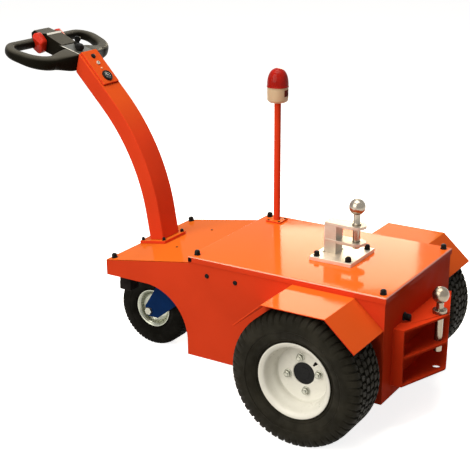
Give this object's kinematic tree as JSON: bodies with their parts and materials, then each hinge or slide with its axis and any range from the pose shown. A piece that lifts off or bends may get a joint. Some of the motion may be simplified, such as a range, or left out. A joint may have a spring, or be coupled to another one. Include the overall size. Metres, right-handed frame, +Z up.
{
  "type": "electric tow tractor",
  "caption": "Walk-behind electric tow tractor with a curved fixed tiller, pneumatic drive wheels under folded fenders, a swivel caster, ball and pin hitches and a pole beacon.",
  "frame": {"origin": "on the floor under the lid's front edge, at the middle of the machine's box", "axes": "+X to the drawbar end, -X to the operator, +Y to the beacon's side, +Z up"},
  "size_m": [1.5135, 0.844, 1.0371],
  "materials": {
    "orange_paint": "gloss powder coat",
    "black_plastic": "satin",
    "handle_plastic": "fine moulded grain",
    "red_plastic": "gloss",
    "red_lens": "clear gloss",
    "cream_plastic": "satin",
    "rubber": "matt",
    "battery_case": "matt",
    "cast_case": "painted casting",
    "rim_paint": "gloss enamel",
    "tyre": "matt",
    "galvanised_steel": "zinc plated",
    "navy_paint": "satin",
    "hitch_alloy": "bright zinc plate",
    "chrome_steel": "polished"
  },
  "bodies": {
    "chassis": {"side_panel_left": "orange_paint", "side_panel_right": "orange_paint", "nose_plate": "orange_paint", "rear_panel": "orange_paint", "lid": "orange_paint", "floor_pan": "orange_paint", "bulkhead": "orange_paint", "battery": "battery_case", "transaxle": "cast_case", "fender_left": "orange_paint", "fender_right": "orange_paint", "caster_bridge": "orange_paint", "nose_buffers": "rubber", "tiller_base": "orange_paint", "tiller_arm": "orange_paint", "tiller_cover": "orange_paint", "tiller_gauge": "black_plastic", "tiller_buttons": "black_plastic", "handle_frame": "handle_plastic", "control_box": "handle_plastic", "throttle_paddles": "red_plastic", "head_knobs": "black_plastic", "beacon_pole": "orange_paint", "beacon_base": "cream_plastic", "beacon_dome": "red_lens", "upper_hitch_plate": "hitch_alloy", "upper_hitch_bracket": "hitch_alloy", "upper_hitch_ball": "chrome_steel", "rear_hitch": "orange_paint", "rear_hitch_pin": "chrome_steel", "rear_plug": "black_plastic", "lid_caps": "black_plastic", "nose_caps": "black_plastic", "hitch_caps": "black_plastic", "tiller_caps": "black_plastic", "caster_plate": "galvanised_steel"},
    "caster": {"caster_fork": "navy_paint", "caster_axle": "galvanised_steel"},
    "caster_wheel": {"caster_rim": "galvanised_steel", "caster_tyre": "tyre"},
    "wheel_left": {"hub_left": "cast_case", "rim_left": "rim_paint", "tyre_left": "tyre"},
    "wheel_right": {"hub_right": "cast_case", "rim_right": "rim_paint", "tyre_right": "tyre"}
  },
  "joints": [
    {"name": "wheel_left_spin", "type": "hinge", "parent": "chassis", "child": "wheel_left", "pos_m": [0.465, -0.34, 0.206], "axis": [0, 1, 0], "continuous": true},
    {"name": "wheel_right_spin", "type": "hinge", "parent": "chassis", "child": "wheel_right", "pos_m": [0.465, 0.34, 0.206], "axis": [0, 1, 0], "continuous": true},
    {"name": "caster_swivel", "type": "hinge", "parent": "chassis", "child": "caster", "pos_m": [-0.185, 0, 0.29], "axis": [0, 0, 1], "continuous": true},
    {"name": "caster_spin", "type": "hinge", "parent": "caster", "child": "caster_wheel", "pos_m": [-0.293, 0, 0.13], "axis": [0, 1, 0], "continuous": true}
  ]
}
